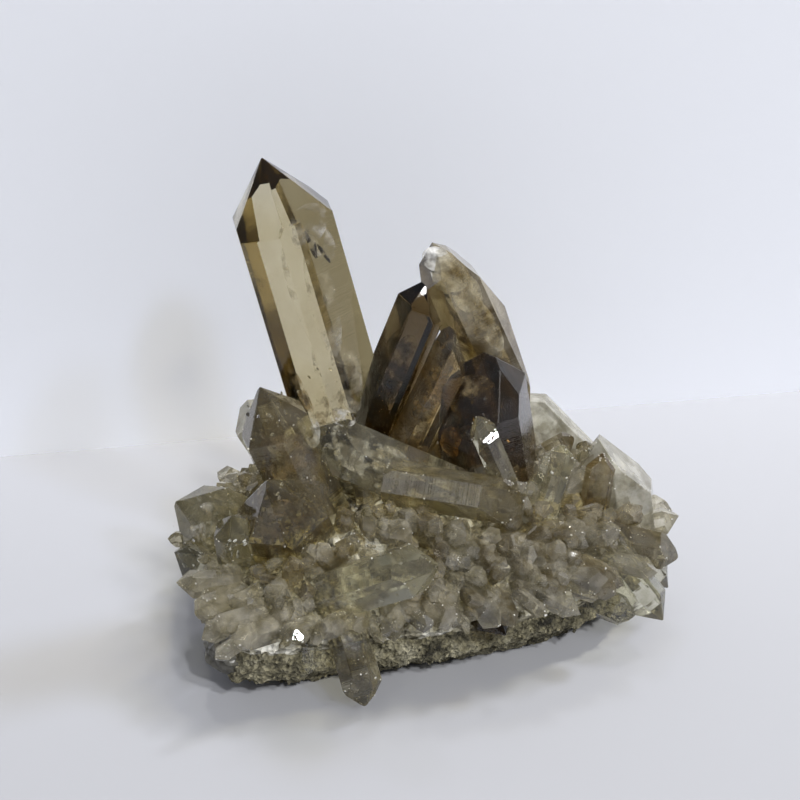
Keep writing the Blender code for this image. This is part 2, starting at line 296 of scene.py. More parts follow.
def crust_material():
    """The glassy brown mass between the small points, too full of cracks to see through."""
    stops = [(0.40, (0.07, 0.06, 0.035)), (0.50, (0.40, 0.37, 0.27)), (0.62, (0.90, 0.88, 0.79))]
    return grained_material("crust_quartz", stops, 150.0, 900.0, (0.55, 1.3), 0.16, 0.0008)


def bruise_and_painted_highlight_material():
    """White crushed quartz on knocked edges, and painted highlights along the crystals' edges."""
    stops = [(0.40, (0.46, 0.44, 0.37)), (0.60, (0.90, 0.89, 0.85))]
    return grained_material("bruised_quartz_and_painted_highlights", stops, 400.0, 2500.0, (0.8, 1.1), 0.3, 0.0001)


def rock_material():
    """Grainy tan rock with greenish and dark grains."""
    stops = [(0.36, (0.030, 0.027, 0.017)), (0.50, (0.21, 0.19, 0.12)), (0.66, (0.45, 0.42, 0.30))]
    return grained_material("matrix_stone", stops, 170.0, 1500.0, (0.45, 1.45), 0.85, 0.0005)


def broken_material():
    """The curved grey broken face at the rock's corner."""
    stops = [(0.3, (0.06, 0.055, 0.045)), (0.5, (0.13, 0.125, 0.105)), (0.7, (0.26, 0.25, 0.21))]
    return grained_material("broken_quartz", stops, 90.0, 500.0, (0.85, 1.15), 0.22, 0.0002)


# Shapes

def plan_point(turn, share=1.0):
    """A point of the rock's plan at a turn from 0 to 1 round it, on a smooth closed curve."""
    count = len(PLAN)
    place = turn * count
    index = int(math.floor(place))
    part = place - index
    a, b, c, d = (Vector(PLAN[(index + step) % count]) for step in (-1, 0, 1, 2))
    point = 0.5 * (2 * b + (c - a) * part + (2 * a - 5 * b + 4 * c - d) * part ** 2
                   + (3 * b - a - 3 * c + d) * part ** 3)
    centre = Vector(PLAN_CENTRE)
    return centre + (point - centre) * share


def crust_top(share):
    return CRUST_RIM + CRUST_RISE * (1 - share ** CRUST_FALL)


def outward(point):
    return Vector((point[0] - PLAN_CENTRE[0], point[1] - PLAN_CENTRE[1], 0)).normalized()


def directions(foot, tip):
    """The crystal's length, and the two ways across it: towards the viewer and to the viewer's right."""
    along = (tip - foot).normalized()
    front = (FRONT - FRONT.dot(along) * along).normalized()
    return along, front, along.cross(front)


def map_length(piece, foot, axes):
    """Give the piece a map with V along its length in centimetres, level on the slanting tip faces."""
    along, front, right = axes
    mesh = piece.data
    layer = mesh.uv_layers[0] if mesh.uv_layers else mesh.uv_layers.new(name="UVMap")
    for face in mesh.polygons:
        steep = abs(face.normal.dot(along)) > 0.4
        for corner in face.loop_indices:
            place = mesh.vertices[mesh.loops[corner].vertex_index].co - foot
            up = 0.0 if steep else place.dot(along) * 100
            layer.data[corner].uv = (place.dot(right) * 100, up)


def cut_crystal(name, foot, tip, across, roll, sides, caps, cuts=(), edge=0.0, plates=()):
    """A six-sided crystal: a prism cut to its sides and to its slanting tip, with worn edges."""
    foot, tip, across = Vector(foot) * MM, Vector(tip) * MM, across * MM
    axes = along, front, right = directions(foot, tip)
    length = (tip - foot).length
    deselect()
    bpy.ops.mesh.primitive_cylinder_add(vertices=6, radius=across, depth=length + 2 * across,
                                        location=foot + along * (length / 2 + across),
                                        rotation=along.to_track_quat("Z", "Y").to_euler())
    piece = bpy.context.active_object
    piece.name = piece.data.name = name
    settle(piece)
    bpy.ops.object.mode_set(mode="EDIT")

    def turned(turn, tilt):
        sideways = math.cos(math.radians(turn)) * front + math.sin(math.radians(turn)) * right
        return math.sin(math.radians(tilt)) * sideways + math.cos(math.radians(tilt)) * along

    planes = [(foot + turned(roll + 60 * k, 90) * across / 2 * sides[k], turned(roll + 60 * k, 90))
              for k in range(6)]
    for k in range(6):
        slant = turned(roll + 60 * k, TIP_FACE_TILT)
        planes.append((tip + slant * caps[k] * MM, slant))
    planes += [(tip - along * depth * MM, turned(turn, tilt)) for turn, tilt, depth in cuts]
    for point, normal in planes:
        bpy.ops.mesh.select_all(action="SELECT")
        bpy.ops.mesh.bisect(plane_co=point, plane_no=normal, use_fill=True, clear_outer=True,
                            threshold=CUT_MERGE)
    for index, margin, rise in plates:
        facing = turned(roll + 60 * index, 90)
        body = bmesh.from_edit_mesh(piece.data)
        for face in body.faces:
            face.select_set(face.normal.dot(facing) > 0.999)
        bmesh.update_edit_mesh(piece.data)
        bpy.ops.mesh.inset(thickness=margin * MM, depth=rise * MM, use_boundary=True)
    if edge:
        bpy.ops.mesh.select_all(action="SELECT")
        bpy.ops.mesh.bevel(offset=edge * MM, segments=1, affect="EDGES", clamp_overlap=True)
    bpy.ops.mesh.select_all(action="SELECT")
    bpy.ops.mesh.normals_make_consistent(inside=False)
    bpy.ops.object.mode_set(mode="OBJECT")
    map_length(piece, foot, axes)
    return piece


def crack_patterns(rng):
    """Thin flat hollows one unit wide, whose faces look inwards, for the cracks inside a crystal."""
    patterns = []
    for number in range(4):
        deselect()
        bpy.ops.mesh.primitive_ico_sphere_add(subdivisions=1, radius=0.5)
        piece = bpy.context.active_object
        piece.name = piece.data.name = f"crack_{number}"
        for vert in piece.data.vertices:
            pull = rng.uniform(0.55, 1.15)
            bend = rng.uniform(-0.03, 0.03)
            vert.co = Vector((vert.co.x * pull, vert.co.y * pull * 0.8, vert.co.z * 0.05 + bend))
        bpy.ops.object.mode_set(mode="EDIT")
        bpy.ops.mesh.select_all(action="SELECT")
        bpy.ops.mesh.normals_make_consistent(inside=True)
        bpy.ops.object.mode_set(mode="OBJECT")
        patterns.append(piece)
    return patterns


def turned_any_way(rng):
    way = Vector((rng.gauss(0, 1), rng.gauss(0, 1), rng.gauss(0, 1)))
    spin = Matrix.Rotation(rng.uniform(0, math.tau), 4, "Z")
    return way.to_track_quat("Z", "Y").to_matrix().to_4x4() @ spin


def copy_of(pattern, place):
    mesh = pattern.data.copy()
    mesh.transform(place)
    item = bpy.data.objects.new(pattern.name, mesh)
    bpy.context.scene.collection.objects.link(item)
    return item


def add_cracks(piece, patterns, rng, foot, tip, across, count, sizes, span, room_share=0.8):
    """Join cracks into a crystal, spread through part of its length and clear of its sides."""
    foot, tip, across = Vector(foot) * MM, Vector(tip) * MM, across * MM
    along, front, right = directions(foot, tip)
    parts = [piece]
    for _ in range(count):
        size = rng.uniform(*sizes) * MM
        room = across / 2 * room_share - size / 2
        if room <= 0:
            continue
        turn, away = rng.uniform(0, math.tau), room * math.sqrt(rng.random())
        aside = (front * math.cos(turn) + right * math.sin(turn)) * away
        centre = foot.lerp(tip, rng.uniform(*span)) + aside
        parts.append(copy_of(rng.choice(patterns), Matrix.Translation(centre) @ turned_any_way(rng)
                             @ Matrix.Scale(size, 4)))
    return join(piece.name, parts)


def cloud_patterns():
    """Thin wavy lens shapes one unit wide, for the clouds inside a crystal."""
    patterns = []
    for number in range(3):
        deselect()
        bpy.ops.mesh.primitive_ico_sphere_add(subdivisions=3, radius=0.5)
        piece = bpy.context.active_object
        piece.name = piece.data.name = f"cloud_{number}"
        shift = Vector((number * 7.0, 0, 0))
        for vert in piece.data.vertices:
            wave = noise.noise(Vector((vert.co.x, vert.co.y, 0)) * 3 + shift) * 0.2
            vert.co.z = vert.co.z * 0.03 + wave * (1 - 4 * (vert.co.x ** 2 + vert.co.y ** 2) * 0.8)
        patterns.append(piece)
    return patterns


def clouds_in(patterns, rng, foot, tip, across, count, span, tall=2.0, width=0.7):
    """Clouds that stand along a crystal's length, facing more or less the viewer."""
    foot, tip, across = Vector(foot) * MM, Vector(tip) * MM, across * MM
    along, front, right = directions(foot, tip)
    items = []
    for _ in range(count):
        wide = across * width * rng.uniform(0.75, 1.0)
        centre = foot.lerp(tip, rng.uniform(*span)) + front * across * rng.uniform(-0.22, 0.3) \
            + right * across * rng.uniform(-0.08, 0.08)
        swing = rng.uniform(-0.5, 0.5)
        facing = front * math.cos(swing) + right * math.sin(swing)
        beside = along.cross(facing)
        axes = Matrix((beside, along, facing)).transposed().to_4x4()
        items.append(copy_of(rng.choice(patterns), Matrix.Translation(centre) @ axes
                             @ Matrix.Diagonal((wide, wide * tall, wide, 1))))
    return items


EVEN = (1, 1, 1, 1, 1, 1)
# The large crystals: name, tint, and the same numbers as the solids have
LARGE = [
    dict(name="tall_point", tint="light_tan", foot=(-11.5, 10, 12), tip=(-33, 22, 92.5), across=19.8,
         roll=-27, sides=(1.10, 0.94, 1.0, 0.80, 1.0, 0.94), caps=(0.4, 0, 0, 0.5, 0.5, 0.6), edge=0.16),
    dict(name="dark_point", tint="dark", foot=(-17, 11, 25), tip=(0.5, 15, 70.5), across=9.4, roll=14,
         sides=EVEN, caps=(-0.5, -1.5, -2.5, 0, 0, 0), edge=0.12, plates=((0, 1.1, 0.12),)),
    dict(name="bent_blade", tint="blade", foot=(24, 18, 23), tip=(1, 25, 73.5), across=12.5,
         roll=8, sides=EVEN, caps=(1, 2, 2, 1, 3, 3),
         cuts=((90, 76, -9), (90, 64, 0), (90, 47, 1.5), (20, 30, 1.6), (-70, 50, 0.2),
               (90, 98, 70), (90, 115, 45)), edge=0.3),
    dict(name="middle_blade", tint="tan", foot=(-8, 8, 26), tip=(7.5, 12, 61.5), across=8.5, roll=20,
         sides=EVEN, caps=(0, -3, -3, 1, 1, 0), edge=0.12),
    dict(name="dark_stout", tint="stout", foot=(14.8, 12, 15), tip=(7.9, 5, 59), across=17.5,
         roll=10, sides=EVEN, caps=(-1, 1, 1, 0, 0, -5), edge=0.15),
    dict(name="small_blade", tint="clear", foot=(17, -2, 27), tip=(9, -4, 48.5), across=5.2, roll=25,
         sides=EVEN, caps=(-0.8, 0, 1, 1, 0, 0), edge=0.1),
    dict(name="clear_bar", tint="clear", foot=(17, 1, 21), tip=(-26, -2, 44.5), across=11.5, roll=-22,
         sides=EVEN, caps=(-2, 0, 0, 0, 0, -1), edge=0.12),
    dict(name="left_stout", tint="soft_tan", foot=(-20, -3, 17), tip=(-34.7, 0, 54), across=13.5,
         roll=-25, sides=EVEN, caps=(-1, 0, 0, 0, 0, -1), edge=0.15, plates=((1, 1.6, 0.15),)),
    dict(name="brown_block", tint="soft_tan", foot=(-24, -4, 10), tip=(-32, -15, 41.5), across=17.0, roll=30,
         sides=EVEN, caps=(0, 0, 0, 0, 0, 0.6), edge=0.15),
    dict(name="left_middle", tint="clear", foot=(-38, -9, 12), tip=(-39, -16, 34), across=7.6, roll=20,
         sides=EVEN, caps=(0, 0, 0, 0, 0, 0), edge=0.1),
    dict(name="left_stub", tint="clear", foot=(-33, 6, 11), tip=(-52, -4, 29), across=14.0, roll=-12,
         sides=EVEN, caps=(-1, 0, 0, 0, 0, -1), edge=0.12),
    dict(name="left_low", tint="clear", foot=(-42, -1, 10), tip=(-52, -6, 18.5), across=7.0, roll=0,
         sides=EVEN, caps=(0, 0, 0, 1, 0, 0), edge=0.1),
    dict(name="front_clear", tint="clear", foot=(-27, -21, 16), tip=(1, -30, 32.5), across=9.5,
         roll=-28, sides=EVEN, caps=(-1, 0, 0, 1, 0, 0), edge=0.12, plates=((0, 1.0, 0.1),)),
    dict(name="hanging_point", tint="soft_tan", foot=(-19.5, -21, 21), tip=(-12.3, -36, 2.5), across=7.0,
         roll=-12, sides=EVEN, caps=(-1.2, 0, 0.6, 0.6, 0, 0), edge=0.1),
    dict(name="hanging_tooth", tint="clear", foot=(-23.5, -24, 15), tip=(-24, -31.5, 7), across=4.0,
         roll=10, sides=EVEN, caps=(0, 0, 0, 0, 0, 0), edge=0.08),
    dict(name="right_bar", tint="soft_tan", foot=(-9, -4, 34), tip=(20, -12, 33.5), across=8.0, roll=-5,
         sides=EVEN, caps=(-3, 0, 0, 0, 0, -1), edge=0.12),
    dict(name="facet_point", tint="clear", foot=(19.5, -4, 16), tip=(27, 2, 40), across=6.4, roll=18,
         sides=EVEN, caps=(-1.5, 0, 0, 0, 0, 0), edge=0.1),
    dict(name="brown_plate", tint="tan", foot=(32.5, 2, 15), tip=(35, 6, 35), across=5.4, roll=5,
         sides=(0.6, 1, 1, 0.6, 1, 1), caps=(0, 0, 0, 0, 0, 0), edge=0.1),
    dict(name="back_chunk", tint="milky", foot=(41, 10, 10), tip=(37, 15, 37), across=14.0, roll=20,
         sides=EVEN, caps=(0, -4, -2, 0, 0, 0), edge=0.12),
    dict(name="right_point", tint="soft_tan", foot=(26, -1, 21), tip=(52, 0, 13.5), across=7.6, roll=-34,
         sides=EVEN, caps=(-1, 0, 0, 0, 0, 0), edge=0.1),
    dict(name="right_mirror", tint="clear", foot=(35, -3, 19), tip=(47, -13, 6.5), across=7.4, roll=-8,
         sides=EVEN, caps=(0, 0, 0, 0, 0, 0), edge=0.1),
    dict(name="right_under", tint="clear", foot=(27, -8, 11), tip=(42, -13, 7.5), across=5.6, roll=12,
         sides=EVEN, caps=(-1, 0, 0, 0, 0, 0), edge=0.1),
    dict(name="right_tooth", tint="clear", foot=(41, 1, 14), tip=(49.5, 0, 5.5), across=6.0, roll=0,
         sides=EVEN, caps=(0, 0, 0, 0, 0, 0), edge=0.1),
    dict(name="front_pyramid", tint="dark", foot=(6.5, -12, 17.5), tip=(14.5, -25, 11.5), across=7.4,
         roll=0, sides=EVEN, caps=(0, 0, 0, 0, 0, 0), edge=0.1),
    dict(name="back_slab", tint="milky", foot=(37, 21, 14), tip=(14, 28, 36.5), across=13.0, roll=10,
         sides=(0.7, 1, 1, 0.7, 1, 1), caps=(0, 0, 0, 0, 0, 0), edge=0.15),
    dict(name="back_left", tint="milky", foot=(-22, 18, 12), tip=(-40, 38, 30), across=12.0, roll=25,
         sides=EVEN, caps=(0, 1, -2, 0, 1, 0), edge=0.12),
    dict(name="back_point", tint="tan", foot=(2, 20, 14), tip=(8, 42, 46), across=11.0, roll=-10,
         sides=EVEN, caps=(0, 1, 1, -3, 1, 0), edge=0.12),
    dict(name="back_low", tint="milky", foot=(-8, 24, 12), tip=(-15, 46, 27), across=8.5, roll=5,
         sides=EVEN, caps=(0, 0, 1, -1, 0, 0), edge=0.1),
]

# The small crystals that the solids have too
SEED = 41
SMALL_LENGTH = (8.0, 14.0)
SMALL_ACROSS = (2.8, 5.6)
SMALL_ROOT = 3.5
SMALL_SWING = 0.4
SIDE_SPREAD = 0.10
LARGE_CAPS = (-0.15, 0.1)
LESSER_CAPS = (0, 0.2)
GOLDEN_TURN = 0.381966
SMALL_ZONES = [
    (62, (0.90, 0.99), (68, 118)),
    (64, (0.30, 0.88), (10, 75)),
]
# Relief of the rock: texture, size in metres, height, and the value that stays level
ROCK_RELIEF = [
    ("lumps", "CLOUDS", 0.0042, 0.0022, 0.62),
    ("pits", "VORONOI", 0.0021, 0.0014, 0.60),
    ("grit", "CLOUDS", 0.0010, 0.0007, 0.55),
]
# Further fine points strewn between them: count, share of the way out, lean, length, width
FINE_ZONES = [
    (260, (0.90, 0.985), (60, 115), (5.0, 9.0), (1.6, 3.6)),
    (330, (0.62, 0.92), (25, 85), (6.0, 10.0), (1.8, 4.2)),
    (200, (0.20, 0.66), (5, 60), (6.0, 11.0), (2.0, 4.4)),
]
FINE_SEED = 7
FINE_ROOT = 2.5
FINE_SINK = 0.8
FINE_SWING = 0.6
FINE_CRACKS = (4, (0.25, 0.6), (0.35, 0.8))
# Rock: size of its voxels in metres, and the broken corner's middle and half sizes in millimetres
ROCK_VOXEL = 0.00062
CORNER_CENTRE = (-38.0, -25.0, 8.6)
CORNER_HALF = (6.6, 5.2, 5.4)
# Chips: how many, their sizes, and how far they stand out for their size
GRIT = (900, (0.4, 1.3), 0.15)
CRUMBS = (500, (0.6, 1.8), 0.5)
# White edge marks, partly bruises and partly painted highlights: sizes, how far they stand out, and how many
# on large and on small crystals with the shortest edge they go on
BRUISE_AND_HIGHLIGHT_SIZES, BRUISE_AND_HIGHLIGHT_OUT = (0.22, 0.6), -0.1
BRUISES_AND_HIGHLIGHTS_LARGE, BRUISES_AND_HIGHLIGHTS_SMALL = (24, 2.0), (700, 1.4)
# Chance dimming: of a whole crystal, and of each of its faces on top of that
LARGE_DIMMING, TALL_DIMMING, BED_DIMMING = (0, 0.12), (0, 0.04), (0.10, 0.24)

# Large crystals that stand free of the bed, and how far the small ones keep off them
FREE = ("clear_bar", "left_stout", "brown_block", "left_stub", "front_clear", "hanging_point", "right_bar",
        "facet_point", "brown_plate", "right_point", "right_mirror")
FREE_ROOM = 2.6
FREE_SPAN = (0.25, 1.15)
BEHIND = 0.25


def crowds(point):
    """Whether the point is in the room of one of the free large crystals."""
    for row in LARGE:
        if row["name"] in FREE:
            foot, tip = Vector(row["foot"]), Vector(row["tip"])
            near, share = intersect_point_line(point, foot, tip)
            aside = point - near
            hides = aside.dot(FRONT) > -row["across"] * BEHIND
            beside = FREE_SPAN[0] < share < FREE_SPAN[1]
            if beside and hides and aside.length < row["across"] / 2 + FREE_ROOM:
                return True
    return False


def small_crystals(rng):
    items = []
    for count, shares, leans in SMALL_ZONES:
        for index in range(count):
            turn = (index * GOLDEN_TURN + rng.uniform(-0.01, 0.01)) % 1.0
            share = rng.uniform(*shares)
            ground = Vector((*plan_point(turn, share), crust_top(share)))
            swing = Vector((rng.uniform(-1, 1), rng.uniform(-1, 1), 0)) * SMALL_SWING
            lean = math.radians(rng.uniform(*leans))
            along = (math.sin(lean) * outward(ground) + math.cos(lean) * UP + swing).normalized()
            foot = ground - along * SMALL_ROOT
            length = rng.uniform(*SMALL_LENGTH)
            across = rng.uniform(*SMALL_ACROSS)
            sides = [1 + rng.uniform(-SIDE_SPREAD, SIDE_SPREAD) for _ in range(6)]
            caps = [rng.uniform(*(LESSER_CAPS if face % 2 else LARGE_CAPS)) * across for face in range(6)]
            roll = rng.uniform(0, 60)
            if not crowds(foot + along * length):
                items.append(cut_crystal(f"small_{len(items)}", foot, foot + along * length, across, roll,
                                         sides, caps))
    return items


def fine_patterns(rng):
    """A few fine crystals one unit wide and four long, standing on the origin."""
    patterns = []
    for number in range(6):
        sides = [1 + rng.uniform(-0.18, 0.18) for _ in range(6)]
        caps = [rng.uniform(*((0, 0.25) if face % 2 else (-0.25, 0.1))) for face in range(6)]
        patterns.append(cut_crystal(f"pattern_{number}", (0, 0, 0), (0, 0, 4), 1.0, 0, sides, caps))
    return patterns


def strewn(patterns, rng):
    """Copies of the patterns all over the crust, each with its own mesh."""
    items = []
    for count, shares, leans, lengths, widths in FINE_ZONES:
        for index in range(count):
            turn = rng.random()
            share = rng.uniform(*shares)
            ground = Vector((*plan_point(turn, share), crust_top(share) - FINE_SINK))
            swing = Vector((rng.uniform(-1, 1), rng.uniform(-1, 1), rng.uniform(-0.3, 0.3))) * FINE_SWING
            lean = math.radians(rng.uniform(*leans))
            along = (math.sin(lean) * outward(ground) + math.cos(lean) * UP + swing).normalized()
            length, width = rng.uniform(*lengths), rng.uniform(*widths)
            if crowds(ground + along * (length - FINE_ROOT)):
                continue
            place = (Matrix.Translation((ground - along * FINE_ROOT) * MM)
                     @ along.to_track_quat("Z", "Y").to_matrix().to_4x4()
                     @ Matrix.Rotation(rng.uniform(0, math.tau), 4, "Z")
                     @ Matrix.Diagonal((width, width, length / 4, 1)))
            mesh = rng.choice(patterns).data.copy()
            mesh.transform(place)
            item = bpy.data.objects.new("fine", mesh)
            bpy.context.scene.collection.objects.link(item)
            items.append(item)
    return items


def crust_body():
    """The lumpy dome under the points, a little lower than they stand."""
    deselect()
    bpy.ops.mesh.primitive_uv_sphere_add(segments=128, ring_count=72, radius=1.0)
    piece = bpy.context.active_object
    piece.name = piece.data.name = "quartz_crust"
    for vert in piece.data.vertices:
        x, y, z = vert.co
        turn = (math.atan2(y, x) / math.tau + 0.64) % 1.0
        flat = math.hypot(x, y)
        share = min(flat, 1.0) ** 0.8 * 0.97
        px, py = plan_point(turn, share)
        if z >= 0:
            low = 12.0
            height = low + (crust_top(share) - 1.2 - low) * min(z * 3.0, 1.0)
        else:
            height = 12.0 - 3.0 * min(-z * 3.0, 1.0)
        point = Vector((px, py, height))
        near, far = noise.voronoi(point / 5.0)[0][:2]
        if z >= 0:
            point += (outward(point) * 0.4 + UP).normalized() * ((far - near) * 4.0 - 1.6)
        vert.co = point * MM
    return piece


def stone_body():
    """The rock: the solid's own shape, with fine grain and pits."""
    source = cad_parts["matrix"]
    piece = bpy.data.objects.new("matrix_stone", source.data.copy())
    bpy.context.scene.collection.objects.link(piece)
    make_active(piece)
    bpy.ops.object.mode_set(mode="EDIT")
    bpy.ops.mesh.select_all(action="SELECT")
    bpy.ops.mesh.remove_doubles(threshold=1e-6)
    bpy.ops.object.mode_set(mode="OBJECT")
    remesh = piece.modifiers.new("fine", "REMESH")
    remesh.mode = "VOXEL"
    remesh.voxel_size = ROCK_VOXEL
    bpy.ops.object.modifier_apply(modifier=remesh.name)
    for name, kind, size, strength, middle in ROCK_RELIEF:
        texture = bpy.data.textures.new(name, kind)
        texture.noise_scale = size
        push = piece.modifiers.new(name, "DISPLACE")
        push.texture = texture
        push.texture_coords = "GLOBAL"
        push.strength = strength
        push.mid_level = middle
        bpy.ops.object.modifier_apply(modifier=push.name)
    for vert in piece.data.vertices:
        vert.co.z = max(vert.co.z, 0.0)
    return piece


def chip_patterns(rng):
    """Broken bits one unit wide."""
    patterns = []
    for number in range(5):
        deselect()
        bpy.ops.mesh.primitive_ico_sphere_add(subdivisions=1, radius=0.5)
        piece = bpy.context.active_object
        piece.name = piece.data.name = f"chip_{number}"
        for vert in piece.data.vertices:
            vert.co *= rng.uniform(0.55, 1.2)
        patterns.append(piece)
    return patterns


def strewn_on(patterns, rng, spots, sizes, out):
    """Chips set on spots of a surface, each spot a point and the way that the surface faces."""
    items = []
    for point, facing in spots:
        size = rng.uniform(*sizes) * MM
        centre = point + facing * size * out
        centre.z = max(centre.z, size * 0.7)
        items.append(copy_of(rng.choice(patterns), Matrix.Translation(centre) @ turned_any_way(rng)
                             @ Matrix.Diagonal((size, size * 0.8, size * 0.65, 1))))
    return items


def rim_spots(stone, rng, count):
    """Points of the rock's sides and lower edge."""
    verts = [vert for vert in stone.data.vertices
             if vert.normal.z < 0.55 and vert.co.z > 0.0012
             and (Vector((vert.co.x, vert.co.y)) / MM - Vector(PLAN_CENTRE)).length > 24]
    return [(vert.co.copy(), vert.normal.copy()) for vert in rng.sample(verts, count)]


def crust_spots(rng, count):
    spots = []
    for _ in range(count):
        share = math.sqrt(rng.uniform(0.1, 0.97))
        ground = Vector((*plan_point(rng.random(), share), crust_top(share) - 0.6))
        spots.append((ground * MM, (outward(ground) * share + UP * 0.6).normalized()))
    return spots


def edge_spots(pieces, rng, count, shortest):
    """Points on the longer edges of the crystals, where they get bruises and painted highlights."""
    edges = []
    for piece in pieces:
        verts = piece.data.vertices
        edges += [pair for pair in ([verts[index] for index in edge.vertices] for edge in piece.data.edges)
                  if (pair[0].co - pair[1].co).length > shortest * MM]
    spots = []
    for _ in range(count):
        start, end = rng.choice(edges)
        spots.append((start.co.lerp(end.co, rng.random()), (start.normal + end.normal).normalized()))
    return spots


def broken_corner():
    """The greyish shell-like broken face at the rock's front left corner."""
    deselect()
    bpy.ops.mesh.primitive_ico_sphere_add(subdivisions=4, radius=1.0)
    piece = bpy.context.active_object
    piece.name = piece.data.name = "broken_corner"
    centre = Vector(CORNER_CENTRE)
    for vert in piece.data.vertices:
        ring = math.sin(22 * (vert.co - Vector((0.4, -0.6, 1.0))).length)
        shape = vert.co * (1 + (0.05 * ring + 0.14 * noise.noise(vert.co * 2.2)))
        vert.co = (centre + Vector([shape[way] * CORNER_HALF[way] for way in range(3)])) * MM
    return piece


def dress(piece, material, node="quartz_cluster"):
    """Give a piece its material, hang it under the root, and hide the solid that it stands for."""
    piece.data.materials.clear()
    piece.data.materials.append(material)
    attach(piece, "root")
    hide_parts(node)


# Red, green and blue absorption of each tint, per metre
SOAK = {
    "light_tan": (16, 22, 43),
    "dark": (215, 260, 380),
    "stout": (95, 128, 210),
    "blade": (45, 62, 122),
    "tan": (48, 66, 125),
    "soft_tan": (21, 27, 58),
    "clear": (9, 10, 22),
    "milky": (6, 8, 20),
    "bed_pale": (7, 9, 22),
    "bed_brown": (48, 60, 115),
}
WHITE = (1.0, 1.0, 1.0)
# Clear share, dark and pale tone, fineness of the mottling, where frosting starts, and in metres how deep
# the growth lines are and how rough the faces are
TINTS = {
    "light_tan": (1.0, (0.86, 0.84, 0.80), WHITE, 90.0, 0.66, 0.000015, 0.000006),
    "dark": (1.0, (0.74, 0.66, 0.55), WHITE, 120.0, 0.64, 0.00002, 0.000008),
    "stout": (0.97, (0.55, 0.45, 0.28), WHITE, 140.0, 0.60, 0.00002, 0.000012),
    "blade": (0.72, (0.20, 0.15, 0.07), (0.76, 0.70, 0.54), 150.0, 0.58, 0.00003, 0.00003),
    "tan": (0.96, (0.50, 0.40, 0.24), (0.98, 0.95, 0.86), 170.0, 0.58, 0.00003, 0.00002),
    "soft_tan": (0.95, (0.45, 0.39, 0.26), (0.95, 0.92, 0.82), 190.0, 0.54, 0.00004, 0.00002),
    "clear": (0.96, (0.66, 0.64, 0.54), (0.97, 0.96, 0.90), 200.0, 0.56, 0.00003, 0.00001),
    "milky": (0.60, (0.38, 0.36, 0.28), (0.88, 0.87, 0.79), 220.0, 0.50, 0.00006, 0.00006),
    "bed_pale": (0.86, (0.54, 0.50, 0.37), (1.0, 0.96, 0.85), 260.0, 0.64, 0.00003, 0.00001),
    "bed_brown": (0.88, (0.42, 0.35, 0.21), (0.98, 0.93, 0.79), 240.0, 0.64, 0.00003, 0.00001),
}
# Sides with painted shade: crystal, which of its six sides, and how much darker
PAINTED_SHADE_SIDES = {
    "tall_point": ((5, 0.60),),
    "dark_point": ((5, 0.60), (0, 0.20)),
}
# Cracks of each large crystal: how many, their sizes, and the part of its length that holds them
CRACKS = {
    "tall_point": (10, (0.8, 2.0), (0.15, 0.5)),
    "dark_point": (14, (0.6, 2.2), (0.1, 0.7)),
    "bent_blade": (34, (0.8, 3.2), (0.2, 0.85)),
    "middle_blade": (18, (0.6, 2.0), (0.2, 0.8)),
    "dark_stout": (90, (0.4, 1.6), (0.3, 0.80)),
    "small_blade": (8, (0.5, 1.4), (0.3, 0.8)),
    "clear_bar": (110, (0.4, 2.2), (0.15, 0.9)),
    "left_stout": (150, (0.4, 2.0), (0.35, 0.88)),
    "brown_block": (190, (0.4, 2.0), (0.35, 0.88)),
    "left_middle": (24, (0.5, 1.6), (0.4, 0.85)),
    "left_stub": (60, (0.4, 1.8), (0.3, 0.85)),
    "left_low": (12, (0.5, 1.6), (0.4, 0.85)),
    "front_clear": (24, (0.5, 2.0), (0.2, 0.85)),
    "hanging_point": (14, (0.5, 2.0), (0.3, 0.85)),
    "right_bar": (26, (0.5, 2.2), (0.4, 0.9)),
    "back_chunk": (120, (0.4, 2.0), (0.2, 0.56)),
    "back_slab": (50, (0.6, 3.0), (0.3, 0.9)),
    "front_pyramid": (10, (0.5, 1.6), (0.3, 0.8)),
}
# Crystals with white bruises and painted highlights on their edges
BRUISED_OR_HIGHLIGHTED = ("left_stout", "brown_block", "left_stub", "left_middle", "clear_bar", "front_clear", "right_bar",
           "facet_point", "brown_plate", "small_blade", "right_point", "back_chunk", "hanging_point")
# Clouds: tint, how many, the part of the length that holds them, how long for their width
CLOUDS = {
    "tall_point": ("pale", 2, (0.08, 0.28), 1.2),
    "dark_point": ("brown", 3, (0.3, 0.75), 2.6),
    "bent_blade": ("brown", 4, (0.3, 0.8), 1.6),
    "middle_blade": ("brown", 3, (0.35, 0.75), 2.2),
    "dark_stout": ("brown", 3, (0.4, 0.75), 1.2),
    "clear_bar": ("pale", 3, (0.3, 0.85), 1.6),
    "left_stout": ("brown", 3, (0.4, 0.75), 1.2),
    "brown_block": ("brown", 3, (0.4, 0.8), 1.2),
    "left_stub": ("pale", 2, (0.4, 0.75), 1.0),
    "front_clear": ("pale", 1, (0.1, 0.4), 1.6),
    "back_chunk": ("pale", 3, (0.2, 0.42), 0.9),
    "back_slab": ("pale", 3, (0.3, 0.8), 1.2),
}

CLOUD_ORDER = ("brown", "pale", "white", "black", "frost", "veil", "amber")
